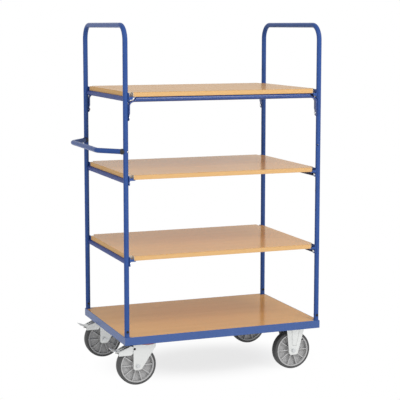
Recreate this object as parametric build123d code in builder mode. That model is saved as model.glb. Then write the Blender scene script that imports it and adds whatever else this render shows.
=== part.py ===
"""Shelf trolley: base frame on casters, two tube hoops, three shelves and a push handle.

Millimetres, +Z up, +X along the length away from the push handle, +Y to the rear.
The origin is on the floor, under the middle of the overall length and width.
"""
import os
from math import cos, radians, sin, sqrt

from build123d import *

# Overall sizes
total_height = 1800.0
base_length = 1064.0
base_width = 720.0
shelf_tops = {"lower": 662.0, "middle": 1062.0, "upper": 1466.0}

# Base frame
rim_height = 40.0
rim_wall = 3.0
rim_edge_radius = 1.2
ledge_width = 22.0
ledge_thickness = 3.0
channel_width = 152.0
channel_depth = 21.0
channel_wall = 4.0
channel_bend = 5.0
corner_plate_size = 28.0
corner_plate_thickness = 4.0
spigot_length = 60.0
spigot_clearance = 0.1

# Boards
base_board_thickness = 16.0
board_end_inset = 27.0
board_side_inset = 5.0
board_thickness = 22.0
board_edge_radius = 1.5
notch_end_clearance = 21.5
notch_side_clearance = 16.0
board_gap = 0.5

# Hoops, rungs and long tubes
tube_d = 25.0
tube_wall = 2.0
post_inset = 14.0
hoop_bend_radius = 75.0
rung_offset = 12.0
strap_thickness = 8.0
strap_tab_thickness = 4.0
strap_tab_rise = 12.0
strap_tab_slope = 12.0
strap_width = 28.0
strap_bend_radius = 24.0
flattened_length = 12.0
long_tube_drop = 0.5
strap_drop = 139.0
strap_end_radius = 15.0
strap_bolt_drop = 125.0
spare_hole_d = 8.5
spare_hole_rise = 82.0
spare_hole_pitch = 100.0
spare_hole_end = 40.0
spare_hole_margin = 4.0

# Shelf brackets
bracket_thickness = 4.0
bracket_top_drop = 3.0
bracket_bottom_drop = 49.0
bracket_bolt_drop = 37.0
bracket_wing = 14.5
bracket_wing_drop = 21.0
bracket_setback = 0.5
ear_length = 28.0
ear_tail_width = 18.0
ear_tail_length = 36.0
ear_radius = 7.0
lip_length = 18.0
lip_top_drop = 14.0
hung_lip_drop = 36.0
lip_radius = 5.0
screw_d = 5.0
screw_head_d = 9.0
screw_head_height = 2.5
screw_depth = 14.0

# Push handle
handle_height = 1178.0
handle_reach = 108.0
handle_splay = 122.0
handle_bend_radius = 34.0
handle_weld_gap = 0.25

# Bolts
shelf_bolt_d = 8.0
shelf_bolt_flats = 13.0
shelf_bolt_head = 5.3
shelf_bolt_grip = 8.0
foot_bolt_rise = 28.0
foot_bolt_head_d = 14.0
foot_bolt_head = 3.4
foot_bolt_socket = 5.0
foot_bolt_socket_depth = 2.0
caster_bolt_d = 10.0
caster_bolt_flats = 16.0
caster_bolt_head = 6.4

# Casters
caster_height = 235.0
caster_end_inset = 132.0
caster_side_inset = 70.0
plate_length = 135.0
plate_width = 110.0
plate_thickness = 4.0
plate_corner = 12.0
plate_hole_x = 105.0
plate_hole_y = 88.0
plate_hole_d = 11.0
fork_gap = 62.0
fork_wall = 3.5
fixed_leg_drop = 22.5
swivel_leg_drop = 19.0

# Wheels
wheel_d = 200.0
tyre_width = 46.0
tyre_wall = 14.0
tyre_crown = 1.5
tyre_shoulder = 6.0
rim_ring = 6.0
rim_lip = 1.5
rim_lip_depth = 4.0
web_thickness = 6.0
hub_d = 50.0
hub_width = 59.0
rib_count = 10
rib_thickness = 5.0
rib_setback = 4.0
bearing_d = 28.0
bearing_width = 58.0
sleeve_d = 20.0
axle_d = 12.0
axle_flats = 18.0
axle_head = 7.5
axle_nut = 10.0
running_clearance = 0.05

# Fixed fork
fixed_leg_short = 40.0
fixed_leg_long = 66.0
fixed_leg_bottom = 46.0
fixed_leg_radius = 13.0
fixed_rib_top = 48.0
fixed_rib_bottom = 26.0
fixed_rib_rise = 4.0
fixed_rib_start = 16.0
fixed_rib_length = 90.0

# Swivel fork and its head
trail = 54.0
fork_tail = 23.5
fork_nose = 17.5
crown_nose = 40.0
crown_nose_depth = 14.0
crown_clearance = 3.5
crown_thickness = 4.0
crown_radius = 46.0
swivel_leg_radius = 11.0
kingpin_d = 16.0
kingpin_head_d = 26.0
kingpin_head = 6.0
kingpin_gap = 0.5
race_d = 72.0
race_bore = 44.0
race_height = 6.0
race_gap = 0.4
cup_d = 78.0
seal_d = 90.0
seal_height = 7.0
seal_gap = 0.6

# Brake
pivot_back = 17.0
pivot_rise = 88.0
pivot_d = 8.0
pivot_head_d = 12.0
pivot_head = 2.0
pivot_eye_radius = 10.0
lever_side_gap = 0.4
lever_wall = 2.5
lever_start = 34.0
lever_start_rise = 102.0
lever_end = 98.0
lever_end_rise = 75.0
lever_skirt_rise = 57.0
tread_end = 132.0
tread_end_rise = 88.0
tread_width = 64.0
tread_slot_length = 26.0
tread_slot_width = 7.0
tread_slot_pitch = 24.0
web_slot_length = 46.0
web_slot_width = 13.0
web_slot_pitch = 27.0
press_angle = 8.0
shoe_gap = 0.5
shoe_start = 62.0
shoe_end = 92.0
shoe_width = 40.0

# Worked-out places
tube_radius = tube_d / 2
post_x = base_length / 2 - post_inset
post_y = base_width / 2 - post_inset
overall_left = post_x + handle_reach + tube_radius
mid_x = (overall_left - base_length / 2) / 2
board_length = base_length - 2 * board_end_inset
board_width = base_width - 2 * board_side_inset
handle_bar_half = post_y - handle_splay
caster_x = base_length / 2 - caster_end_inset
caster_y = base_width / 2 - caster_side_inset
left_x = mid_x - post_x
right_x = mid_x + post_x
left_caster_x = mid_x - caster_x
right_caster_x = mid_x + caster_x
ledge_top = caster_height + channel_wall + ledge_thickness
deck_height = ledge_top + base_board_thickness
rung_half = post_y - tube_radius - bracket_setback
hoop_top = total_height - tube_radius
axle_z = wheel_d / 2
wheel_radius = wheel_d / 2
plate_bottom = caster_height - plate_thickness
fork_width = fork_gap + 2 * fork_wall
crown_bottom = wheel_d + crown_clearance
crown_top = crown_bottom + crown_thickness
bracket_face = post_x - tube_radius - bracket_thickness
notch_x = bracket_face - notch_end_clearance
notch_y = rung_half - notch_side_clearance
screw_x = bracket_face - ear_length + ear_tail_width / 2
screw_y = rung_half - ear_tail_length + ear_tail_width / 2
lever_gap = fork_gap - 2 * (lever_wall + lever_side_gap)
lever_slope = (lever_start_rise - lever_end_rise) / (lever_end - lever_start)
corners = [(-1, -1), (-1, 1), (1, -1), (1, 1)]
swivel_casters = {"left_front": -caster_y, "left_rear": caster_y}
fixed_casters = {"right_front": -caster_y, "right_rear": caster_y}


def front_plane(x, y, z=0.0):
    """A vertical plane that faces the front: sketch X runs along +X and sketch Y along +Z."""
    return Plane(origin=(x, y, z), x_dir=(1, 0, 0), z_dir=(0, -1, 0))


def end_plane(x, y=0.0, z=0.0, facing=1):
    """A vertical plane across the length, facing +X or -X, with sketch Y along +Z."""
    return Plane(origin=(x, y, z), x_dir=(0, facing, 0), z_dir=(facing, 0, 0))


def axle_plane(x, y):
    """A plane through a wheel's axle: sketch X runs along the axle, sketch Y is the radius."""
    return end_plane(x, y, axle_z)


def hex_radius(flats):
    """Corner radius of a hexagon of this width across its flats."""
    return flats / sqrt(3)


def save(name, part):
    """Label a finished piece and write it."""
    part.label = name
    export_step(part, f"parts/{name}.step")


def rim_rail(run, half_run, half_span):
    """One rim rail: a web with a ledge inside it, mitred at both ends."""
    rail_frame = Plane(origin=(mid_x, 0, 0), x_dir=run, z_dir=(0, 0, 1))
    along = rail_frame.x_dir
    inward = rail_frame.y_dir
    middle = rail_frame.origin - inward * half_span
    with BuildPart() as rail:
        with BuildSketch(Plane(origin=middle, x_dir=inward, z_dir=along)):
            with Locations((rim_wall / 2, deck_height - rim_height / 2)):
                Rectangle(rim_wall, rim_height)
            with Locations((rim_wall + ledge_width / 2, ledge_top - ledge_thickness / 2)):
                Rectangle(ledge_width, ledge_thickness)
        extrude(amount=half_run, both=True)
        for end in (-1, 1):
            corner = middle + along * (end * half_run)
            split(bisect_by=Plane(origin=corner, z_dir=along * end + inward), keep=Keep.BOTTOM)
        long_edges = rail.edges().filter_by(Axis(middle, along))
        outer_edges = long_edges.sort_by(Axis(middle, inward))[0:2]
        fillet(outer_edges, radius=rim_edge_radius)
    return rail.part


def caster_channel(x):
    """A cross channel, flanges down, with tapped holes for two casters."""
    half_run = base_width / 2 - rim_wall
    channel_top = caster_height + channel_wall
    with BuildPart() as channel:
        with BuildSketch(front_plane(x, 0, channel_top)) as profile:
            Rectangle(channel_width, channel_depth, align=(Align.CENTER, Align.MAX))
            fillet(profile.vertices().group_by(Axis.Y)[-1], radius=channel_bend)
            with Locations((0, -channel_depth)):
                Rectangle(
                    channel_width - 2 * channel_wall,
                    channel_depth - channel_wall,
                    align=(Align.CENTER, Align.MIN),
                    mode=Mode.SUBTRACT,
                )
        extrude(amount=half_run, both=True)
        with BuildSketch(Plane((x, 0, channel_top))):
            for y in (-caster_y, caster_y):
                with Locations((0, y)):
                    with GridLocations(plate_hole_x, plate_hole_y, 2, 2):
                        Circle(caster_bolt_d / 2)
        extrude(amount=-channel_wall, mode=Mode.SUBTRACT)
    return channel.part


def corner_spigots():
    """Corner plates let into the rim, each with a spigot for a hoop leg."""
    foot_z = deck_height + foot_bolt_rise
    plate_x = base_length / 2 - rim_wall - corner_plate_size / 2
    plate_y = base_width / 2 - rim_wall - corner_plate_size / 2
    with BuildPart() as spigots:
        with BuildSketch(Plane((mid_x, 0, deck_height))):
            with GridLocations(2 * plate_x, 2 * plate_y, 2, 2):
                Rectangle(corner_plate_size, corner_plate_size)
        extrude(amount=-corner_plate_thickness)
        with BuildSketch(Plane((mid_x, 0, deck_height))):
            with GridLocations(2 * post_x, 2 * post_y, 2, 2):
                Circle(tube_radius - tube_wall - spigot_clearance)
        extrude(amount=spigot_length)
        with BuildSketch(front_plane(mid_x, 0, foot_z)):
            with Locations((-post_x, 0), (post_x, 0)):
                Circle(shelf_bolt_d / 2)
        extrude(amount=base_width / 2, both=True, mode=Mode.SUBTRACT)
    return spigots.part


def base_board():
    """The base board, let in between the rim rails and round the corner plates."""
    inner_length = base_length - 2 * rim_wall - 2 * board_gap
    inner_width = base_width - 2 * rim_wall - 2 * board_gap
    with BuildPart() as board:
        with BuildSketch(Plane((mid_x, 0, ledge_top))):
            Rectangle(inner_length, inner_width)
            with GridLocations(inner_length, inner_width, 2, 2):
                Rectangle(2 * corner_plate_size, 2 * corner_plate_size, mode=Mode.SUBTRACT)
        extrude(amount=base_board_thickness)
    return board.part


def shelf_board(top):
    """One shelf board with notched corners, rounded edges and pilot holes for its screws."""
    with BuildPart() as board:
        with BuildSketch(Plane((mid_x, 0, top))):
            Rectangle(2 * notch_x, board_width)
            Rectangle(board_length, 2 * notch_y)
        extrude(amount=-board_thickness)
        fillet(board.faces().sort_by(Axis.Z)[-1].edges(), radius=board_edge_radius)
        with BuildSketch(Plane((mid_x, 0, top - board_thickness))):
            with GridLocations(2 * screw_x, 2 * screw_y, 2, 2):
                Circle(screw_d / 2)
        extrude(amount=screw_depth, mode=Mode.SUBTRACT)
    return board.part


def spare_heights():
    """Heights of the free holes in a post: one row, left out where a bracket or strap is bolted."""
    first = deck_height + spare_hole_rise
    last = hoop_top - hoop_bend_radius - spare_hole_end
    count = int((last - first) // spare_hole_pitch) + 1
    taken = [(top - bracket_bottom_drop, top - bracket_top_drop) for top in shelf_tops.values()]
    taken.append((shelf_tops["upper"] - strap_drop, shelf_tops["upper"]))
    reach = spare_hole_d / 2 + spare_hole_margin
    free = []
    for index in range(count):
        height = first + index * spare_hole_pitch
        if all(height + reach < low or height - reach > high for low, high in taken):
            free.append(height)
    return free


def hoop(x, inner):
    """One inverted-U hoop with its bolt holes and spare holes; inner is the X way to the shelves."""
    with BuildPart() as bent_tube:
        with BuildLine(end_plane(x)) as path:
            FilletPolyline(
                (-post_y, deck_height),
                (-post_y, hoop_top),
                (post_y, hoop_top),
                (post_y, deck_height),
                radius=hoop_bend_radius,
            )
        with BuildSketch(Plane(origin=path.line @ 0, z_dir=path.line % 0)):
            Circle(tube_radius)
            Circle(tube_radius - tube_wall, mode=Mode.SUBTRACT)
        sweep()
        bolt_heights = [top - bracket_bolt_drop for top in shelf_tops.values()]
        bolt_heights.append(shelf_tops["upper"] - strap_bolt_drop)
        with BuildSketch(end_plane(x, facing=inner)):
            for height in bolt_heights:
                with Locations((-post_y, height), (post_y, height)):
                    Circle(shelf_bolt_d / 2)
        extrude(amount=tube_d, mode=Mode.SUBTRACT)
        with BuildSketch(end_plane(x)):
            for height in spare_heights():
                with Locations((-post_y, height), (post_y, height)):
                    Circle(spare_hole_d / 2)
        extrude(amount=tube_d, both=True, mode=Mode.SUBTRACT)
        for side in (-1, 1):
            handle_run = (-inner * handle_reach, -side * handle_splay, 0)
            with BuildSketch(Plane((x, side * post_y, handle_height), z_dir=handle_run)):
                Circle(spare_hole_d / 2)
            extrude(amount=tube_d, both=True, mode=Mode.SUBTRACT)
        with BuildSketch(front_plane(x, 0, deck_height + foot_bolt_rise)):
            Circle(shelf_bolt_d / 2)
        extrude(amount=base_width / 2, both=True, mode=Mode.SUBTRACT)
    return bent_tube.part


def end_rungs(side):
    """The cross tubes under the shelf ends at one end of the trolley."""
    rung_x = mid_x + side * (post_x - rung_offset)
    with BuildPart() as rungs:
        with BuildSketch(front_plane(rung_x, 0)):
            for top in shelf_tops.values():
                with Locations((0, top - board_thickness - tube_radius)):
                    Circle(tube_radius)
                    Circle(tube_radius - tube_wall, mode=Mode.SUBTRACT)
        extrude(amount=rung_half, both=True)
    return rungs.part


def shelf_brackets(top, hung):
    """The four corner brackets of one shelf: a bolted plate, an ear under the board and a lip.

    The lip stands in front of the ear, or, where hung is true, hangs down from it.
    """
    ear_top = top - board_thickness
    plate_height = bracket_bottom_drop - bracket_top_drop
    plate_run = tube_radius + post_y - rung_half
    wing_height = bracket_wing_drop - bracket_top_drop
    lip_run = lip_length + bracket_thickness
    lip_high = board_thickness if hung else lip_top_drop
    lip_low = hung_lip_drop if hung else board_thickness + bracket_thickness
    rounded_end = 0 if hung else total_height
    with BuildPart() as brackets:
        for side, end in corners:
            face_x = mid_x + side * bracket_face
            outer_y = end * (post_y + tube_radius)
            with BuildSketch(end_plane(face_x, 0, top, facing=side)) as plate:
                with Locations((side * end * (rung_half + plate_run / 2), -bracket_top_drop)):
                    Rectangle(plate_run, plate_height, align=(Align.CENTER, Align.MAX))
                with Locations((side * end * (rung_half - bracket_wing / 2), -bracket_top_drop)):
                    Rectangle(bracket_wing, wing_height, align=(Align.CENTER, Align.MAX))
                with Locations((side * end * post_y, -bracket_bolt_drop)):
                    Circle(shelf_bolt_d / 2, mode=Mode.SUBTRACT)
            extrude(amount=bracket_thickness)
            ear_middle = face_x - side * ear_length / 2
            tail_middle = face_x - side * (ear_length - ear_tail_width / 2)
            with BuildSketch(Plane((0, 0, ear_top))) as ear:
                with Locations((ear_middle, outer_y - end * plate_run / 2)):
                    Rectangle(ear_length, plate_run)
                with Locations((tail_middle, outer_y - end * (plate_run + ear_tail_length / 2))):
                    Rectangle(ear_tail_width, ear_tail_length)
                far_corners = ear.vertices().sort_by_distance((mid_x + side * post_x, outer_y))
                fillet(far_corners[-2:], radius=ear_radius)
                with Locations((mid_x + side * screw_x, end * screw_y)):
                    Circle(screw_d / 2, mode=Mode.SUBTRACT)
            extrude(amount=-bracket_thickness)
            lip_x = face_x + side * (bracket_thickness - lip_run / 2)
            lip_y = outer_y - end * bracket_thickness / 2
            with BuildSketch(front_plane(lip_x, lip_y, top - lip_high)) as lip:
                Rectangle(lip_run, lip_low - lip_high, align=(Align.CENTER, Align.MAX))
                free_corner = lip.vertices().sort_by_distance((mid_x, lip_y, rounded_end))[0]
                fillet(free_corner, radius=lip_radius)
            extrude(amount=bracket_thickness / 2, both=True)
    return brackets.part


def long_tube(end):
    """A long tube under the upper board: its ends are pressed flat and bend down the posts."""
    top = shelf_tops["upper"]
    y = end * post_y
    tube_z = top - board_thickness - long_tube_drop - tube_radius
    strap_z = tube_z - tube_radius + strap_thickness / 2
    strap_x = post_x - tube_radius - strap_thickness / 2
    bend_x = strap_x - strap_bend_radius
    bend_z = strap_z - strap_bend_radius
    round_x = bend_x - flattened_length
    tab_x = post_x - tube_radius - strap_tab_thickness / 2
    tab_top = top - strap_bolt_drop + strap_tab_rise
    slope_top = tab_top + strap_tab_slope
    with BuildPart() as tube:
        with BuildSketch(end_plane(mid_x, y, tube_z)):
            Circle(tube_radius)
            Circle(tube_radius - tube_wall, mode=Mode.SUBTRACT)
        extrude(amount=round_x, both=True)
        for side in (-1, 1):
            with BuildSketch(end_plane(mid_x + side * round_x, y, tube_z)):
                Circle(tube_radius)
            with BuildSketch(end_plane(mid_x + side * bend_x, y, strap_z)):
                SlotOverall(strap_width, strap_thickness)
            loft()
            bend_axis = Axis((mid_x + side * bend_x, 0, bend_z), (0, side, 0))
            with BuildSketch(end_plane(mid_x + side * bend_x, y, strap_z)):
                SlotOverall(strap_width, strap_thickness)
            revolve(axis=bend_axis, revolution_arc=90)
            with BuildSketch(Plane((mid_x + side * strap_x, y, bend_z))):
                SlotOverall(strap_width, strap_thickness, rotation=90)
            extrude(amount=slope_top - bend_z)
            with BuildSketch(Plane((mid_x + side * strap_x, y, slope_top))):
                SlotOverall(strap_width, strap_thickness, rotation=90)
            with BuildSketch(Plane((mid_x + side * tab_x, y, tab_top))):
                SlotOverall(strap_width, strap_tab_thickness, rotation=90)
            loft()
            with BuildSketch(Plane((mid_x + side * tab_x, y, tab_top))):
                SlotOverall(strap_width, strap_tab_thickness, rotation=90)
            extrude(amount=top - strap_drop - 1 - tab_top)
            with BuildSketch(end_plane(mid_x + side * tab_x, y, top - strap_drop)):
                with Locations((0, -strap_tab_thickness)):
                    Rectangle(2 * strap_width, strap_width / 2, align=(Align.CENTER, Align.MIN))
                with Locations((0, strap_end_radius)):
                    Circle(strap_end_radius, mode=Mode.SUBTRACT)
                with Locations((0, strap_drop - strap_bolt_drop)):
                    Circle(shelf_bolt_d / 2)
            extrude(amount=strap_thickness, both=True, mode=Mode.SUBTRACT)
    return tube.part


def push_handle():
    """The push handle: one bent tube whose ends are coped against the left posts."""
    bar_x = left_x - handle_reach
    with BuildPart() as handle:
        with BuildLine(Plane.XY.offset(handle_height)) as path:
            FilletPolyline(
                (left_x, -post_y),
                (bar_x, -handle_bar_half),
                (bar_x, handle_bar_half),
                (left_x, post_y),
                radius=handle_bend_radius,
            )
        with BuildSketch(Plane(origin=path.line @ 0, z_dir=path.line % 0)):
            Circle(tube_radius)
            Circle(tube_radius - tube_wall, mode=Mode.SUBTRACT)
        sweep()
        with BuildSketch(Plane((left_x, 0, handle_height))):
            with Locations((0, -post_y), (0, post_y)):
                Circle(tube_radius + handle_weld_gap)
        extrude(amount=tube_d, both=True, mode=Mode.SUBTRACT)
    return handle.part


def shelf_bolts():
    """Hex bolts through the brackets and the straps into the posts, heads inside."""
    places = [(top - bracket_bolt_drop, bracket_thickness) for top in shelf_tops.values()]
    places.append((shelf_tops["upper"] - strap_bolt_drop, strap_tab_thickness))
    with BuildPart() as bolts:
        for side, end in corners:
            for height, clamped in places:
                seat_x = mid_x + side * (post_x - tube_radius - clamped)
                seat = end_plane(seat_x, end * post_y, height, facing=-side)
                with BuildSketch(seat):
                    RegularPolygon(hex_radius(shelf_bolt_flats), 6)
                extrude(amount=shelf_bolt_head)
                with BuildSketch(seat):
                    Circle(shelf_bolt_d / 2)
                extrude(amount=-(clamped + tube_wall + shelf_bolt_grip))
    return bolts.part


def foot_bolts():
    """Button-head bolts through the hoop feet, heads to the front, with low nuts behind."""
    foot_z = deck_height + foot_bolt_rise
    with BuildPart() as bolts:
        for side, end in corners:
            x = mid_x + side * post_x
            y = end * post_y
            with BuildSketch(front_plane(x, y + tube_radius + foot_bolt_head, foot_z)):
                RegularPolygon(hex_radius(shelf_bolt_flats), 6)
                Circle(shelf_bolt_d / 2, mode=Mode.SUBTRACT)
            extrude(amount=foot_bolt_head)
            with BuildSketch(front_plane(x, y + tube_radius + foot_bolt_head, foot_z)):
                Circle(shelf_bolt_d / 2)
            extrude(amount=tube_d + foot_bolt_head)
            with BuildSketch(front_plane(x, y - tube_radius, foot_z)):
                Circle(foot_bolt_head_d / 2)
            extrude(amount=foot_bolt_head, taper=25)
            with BuildSketch(front_plane(x, y - tube_radius - foot_bolt_head, foot_z)):
                RegularPolygon(hex_radius(foot_bolt_socket), 6)
            extrude(amount=-foot_bolt_socket_depth, mode=Mode.SUBTRACT)
    return bolts.part


def board_screws():
    """Pan-head wood screws from below, through the bracket ears into the boards."""
    with BuildPart() as screws:
        for top in shelf_tops.values():
            ear_bottom = top - board_thickness - bracket_thickness
            with BuildSketch(Plane((mid_x, 0, ear_bottom))):
                with GridLocations(2 * screw_x, 2 * screw_y, 2, 2):
                    Circle(screw_head_d / 2)
            extrude(amount=-screw_head_height, taper=20)
            with BuildSketch(Plane((mid_x, 0, ear_bottom))):
                with GridLocations(2 * screw_x, 2 * screw_y, 2, 2):
                    Circle(screw_d / 2)
            extrude(amount=bracket_thickness + screw_depth)
    return screws.part


def caster_bolts():
    """Hex bolts from below, through the caster plates into the channels."""
    with BuildPart() as bolts:
        for side, end in corners:
            with BuildSketch(Plane((mid_x + side * caster_x, end * caster_y, plate_bottom))):
                with GridLocations(plate_hole_x, plate_hole_y, 2, 2):
                    RegularPolygon(hex_radius(caster_bolt_flats), 6)
            extrude(amount=-caster_bolt_head)
            with BuildSketch(Plane((mid_x + side * caster_x, end * caster_y, plate_bottom))):
                with GridLocations(plate_hole_x, plate_hole_y, 2, 2):
                    Circle(caster_bolt_d / 2)
            extrude(amount=plate_thickness + channel_wall)
    return bolts.part


def tyre(x, y):
    """The solid tyre, with a crowned tread and rounded shoulders."""
    half = tyre_width / 2
    shoulder_radius = wheel_radius - tyre_crown
    with BuildPart() as ring:
        with BuildSketch(axle_plane(x, y)) as section:
            with BuildLine():
                Polyline(
                    (-half, shoulder_radius),
                    (-half, wheel_radius - tyre_wall),
                    (half, wheel_radius - tyre_wall),
                    (half, shoulder_radius),
                )
                ThreePointArc((half, shoulder_radius), (0, wheel_radius), (-half, shoulder_radius))
            make_face()
            fillet(section.vertices().group_by(Axis.Y)[-1], radius=tyre_shoulder)
        revolve(axis=Axis((x, y, axle_z), (0, 1, 0)))
    return ring.part


def wheel_rim(x, y):
    """The moulded rim: hub, web, lipped outer ring and radial ribs on both faces."""
    ring_outer = wheel_radius - tyre_wall
    ring_inner = ring_outer - rim_ring
    half = tyre_width / 2
    hub_radius = hub_d / 2
    rib_length = ring_inner - hub_radius
    with BuildPart() as rim:
        with BuildSketch(axle_plane(x, y)):
            with Locations((0, (ring_inner + ring_outer) / 2)):
                Rectangle(tyre_width, rim_ring)
            for face in (-1, 1):
                with Locations((face * (half + rim_lip / 2), ring_outer - rim_lip_depth / 2)):
                    Rectangle(rim_lip, rim_lip_depth)
            with Locations((0, (hub_radius + ring_inner) / 2)):
                Rectangle(web_thickness, rib_length)
            with Locations((0, (bearing_d / 2 + hub_radius) / 2)):
                Rectangle(hub_width, hub_radius - bearing_d / 2)
        revolve(axis=Axis((x, y, axle_z), (0, 1, 0)))
        with BuildSketch(front_plane(x, y, axle_z)):
            with PolarLocations((hub_radius + ring_inner) / 2, rib_count):
                Rectangle(rib_length + rim_ring, rib_thickness)
        extrude(amount=half - rib_setback, both=True)
    return rim.part


def wheel_bearing(x, y):
    """The roller bearing between the axle sleeve and the hub."""
    with BuildPart() as bearing:
        with BuildSketch(front_plane(x, y, axle_z)):
            Circle(bearing_d / 2)
            Circle(sleeve_d / 2 + running_clearance, mode=Mode.SUBTRACT)
        extrude(amount=bearing_width / 2, both=True)
    return bearing.part


def axle(x, y):
    """The axle: a hex bolt and nut through the fork, and the sleeve that the wheel turns on."""
    outer = fork_width / 2
    with BuildPart() as bolt:
        with BuildSketch(front_plane(x, y, axle_z)):
            Circle(sleeve_d / 2)
            Circle(axle_d / 2, mode=Mode.SUBTRACT)
        extrude(amount=fork_gap / 2, both=True)
        with BuildSketch(front_plane(x, y - outer, axle_z)):
            RegularPolygon(hex_radius(axle_flats), 6)
        extrude(amount=axle_head)
        with BuildSketch(front_plane(x, y + outer + axle_nut, axle_z)):
            RegularPolygon(hex_radius(axle_flats), 6)
        extrude(amount=axle_nut)
        with BuildSketch(front_plane(x, y + outer + axle_nut, axle_z)):
            Circle(axle_d / 2)
        extrude(amount=axle_nut + fork_width)
    return bolt.part


def fixed_fork(x, y):
    """A fixed caster's fork: a top plate and two equal pressed legs, one turned half round."""
    leg_bottom = axle_z - fixed_leg_drop
    rib_top = plate_bottom - fixed_rib_start
    rib_bottom = rib_top - fixed_rib_length
    lean = (fixed_leg_long - fixed_leg_short) / 2 / (plate_bottom - leg_bottom)
    rib_top_x = lean * (rib_top - leg_bottom)
    rib_bottom_x = lean * (rib_bottom - leg_bottom)
    with BuildPart() as fork:
        with BuildSketch(Plane((x, y, plate_bottom))):
            RectangleRounded(plate_length, plate_width, plate_corner)
            with GridLocations(plate_hole_x, plate_hole_y, 2, 2):
                Circle(plate_hole_d / 2, mode=Mode.SUBTRACT)
        extrude(amount=plate_thickness)
        for side in (-1, 1):
            leg_y = y + side * (fork_gap + fork_wall) / 2
            with BuildSketch(front_plane(x, leg_y)) as leg:
                with BuildLine():
                    Polyline(
                        (side * fixed_leg_short, plate_bottom),
                        (side * fixed_leg_bottom / 2, leg_bottom),
                        (-side * fixed_leg_bottom / 2, leg_bottom),
                        (-side * fixed_leg_long, plate_bottom),
                        close=True,
                    )
                make_face()
                fillet(leg.vertices().group_by(Axis.Y)[0], radius=fixed_leg_radius)
                with Locations((0, axle_z)):
                    Circle(axle_d / 2, mode=Mode.SUBTRACT)
            extrude(amount=fork_wall / 2, both=True)
            rib_y = leg_y + side * fork_wall / 2
            with BuildSketch(front_plane(x, rib_y)) as rib:
                with BuildLine():
                    Polyline(
                        (-side * rib_top_x - fixed_rib_top / 2, rib_top),
                        (-side * rib_bottom_x - fixed_rib_bottom / 2, rib_bottom),
                        (-side * rib_bottom_x + fixed_rib_bottom / 2, rib_bottom),
                        (-side * rib_top_x + fixed_rib_top / 2, rib_top),
                        close=True,
                    )
                make_face()
            extrude(amount=-side * fixed_rib_rise, taper=45)
    return fork.part


def swivel_plate(x, y):
    """A swivel caster's top plate with the bearing cup pressed down in its middle."""
    cup_bottom = crown_top + race_height + race_gap
    with BuildPart() as plate:
        with BuildSketch(Plane((x, y, plate_bottom))):
            RectangleRounded(plate_length, plate_width, plate_corner)
            with GridLocations(plate_hole_x, plate_hole_y, 2, 2):
                Circle(plate_hole_d / 2, mode=Mode.SUBTRACT)
        extrude(amount=plate_thickness)
        with BuildSketch(Plane((x, y, cup_bottom))):
            Circle(cup_d / 2)
        extrude(amount=plate_bottom - cup_bottom)
        with BuildSketch(Plane((x, y, cup_bottom))):
            Circle(kingpin_d / 2)
        extrude(amount=caster_height - cup_bottom, mode=Mode.SUBTRACT)
    return plate.part


def kingpin(x, y):
    """The kingpin, with its head under the fork's crown and its top flush with the plate."""
    head_top = crown_bottom - kingpin_gap
    with BuildPart() as pin:
        with BuildSketch(Plane((x, y, head_top))):
            Circle(kingpin_head_d / 2)
        extrude(amount=-kingpin_head)
        with BuildSketch(Plane((x, y, head_top))):
            Circle(kingpin_d / 2)
        extrude(amount=caster_height - head_top)
    return pin.part


def ball_race(x, y):
    """The ball race that lies on the fork's crown under the cup."""
    with BuildPart() as race:
        with BuildSketch(Plane((x, y, crown_top))):
            Circle(race_d / 2)
            Circle(race_bore / 2, mode=Mode.SUBTRACT)
        extrude(amount=race_height)
    return race.part


def dust_seal(x, y):
    """The soft ring round the swivel head, seated on the fork's crown."""
    with BuildPart() as seal:
        with BuildSketch(Plane((x, y, crown_top))):
            Circle(seal_d / 2)
            Circle(cup_d / 2 + seal_gap, mode=Mode.SUBTRACT)
        extrude(amount=seal_height)
        fillet(seal.edges().group_by(Axis.Z)[-1].sort_by(SortBy.RADIUS)[-1], radius=seal_height / 3)
    return seal.part


def swivel_fork(x, y):
    """A swivel caster's fork: a round crown and two legs that trail behind the kingpin."""
    leg_bottom = axle_z - swivel_leg_drop
    tail_x = -trail - fork_tail
    with BuildPart() as fork:
        with BuildSketch(Plane((x, y, crown_bottom))):
            with Locations(((crown_nose + tail_x) / 2, 0)):
                Rectangle(crown_nose - tail_x, fork_width)
            Circle(crown_radius)
            Circle(kingpin_d / 2 + running_clearance, mode=Mode.SUBTRACT)
        extrude(amount=crown_thickness)
        for side in (-1, 1):
            with BuildSketch(front_plane(x, y + side * (fork_gap + fork_wall) / 2)) as leg:
                with BuildLine():
                    Polyline(
                        (tail_x, crown_top),
                        (tail_x, leg_bottom),
                        (fork_nose - trail, leg_bottom),
                        (crown_nose, crown_top - crown_nose_depth),
                        (crown_nose, crown_top),
                        close=True,
                    )
                make_face()
                fillet(leg.vertices().group_by(Axis.Y)[0], radius=swivel_leg_radius)
                with Locations((-trail, axle_z)):
                    Circle(axle_d / 2, mode=Mode.SUBTRACT)
                with Locations((-trail - pivot_back, axle_z + pivot_rise)):
                    Circle(pivot_d / 2, mode=Mode.SUBTRACT)
            extrude(amount=fork_wall / 2, both=True)
    return fork.part


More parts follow.
